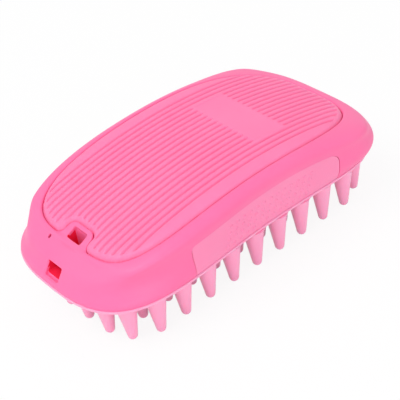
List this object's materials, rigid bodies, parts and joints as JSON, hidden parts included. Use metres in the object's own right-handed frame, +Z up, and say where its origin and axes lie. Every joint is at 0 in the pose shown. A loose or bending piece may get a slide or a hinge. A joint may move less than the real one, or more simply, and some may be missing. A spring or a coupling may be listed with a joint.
{
  "type": "palm bath brush",
  "caption": "Palm-held pet bath and massage brush: domed hollow casing, ribbed soft palm pad, soft side grips, lanyard hole in the nose and soft cone teeth below.",
  "frame": {"origin": "on the surface that the tooth tips rest on, under the middle of the brush's length and width", "axes": "+X towards the plain rear end, with the lanyard nose at -X; +Y towards the left side; +Z up, out of the palm pad"},
  "size_m": [0.1348, 0.0728, 0.0404],
  "materials": {
    "casing": "satin pink moulding",
    "pad_rubber": "soft matte pink silicone rubber",
    "grip_rubber": "soft matte pink silicone rubber, fine texture",
    "tooth_rubber": "soft satin pale pink silicone rubber",
    "plate": "plain moulding, hidden inside",
    "screw": "bright zinc plating"
  },
  "bodies": {
    "root": {"body_shell": "casing", "palm_pad": "pad_rubber", "side_grip_left": "grip_rubber", "side_grip_right": "grip_rubber", "tooth_pad": "tooth_rubber", "backing_plate": "plate", "screw_front_left": "screw", "screw_front_right": "screw", "screw_rear_left": "screw", "screw_rear_right": "screw"}
  },
  "joints": []
}
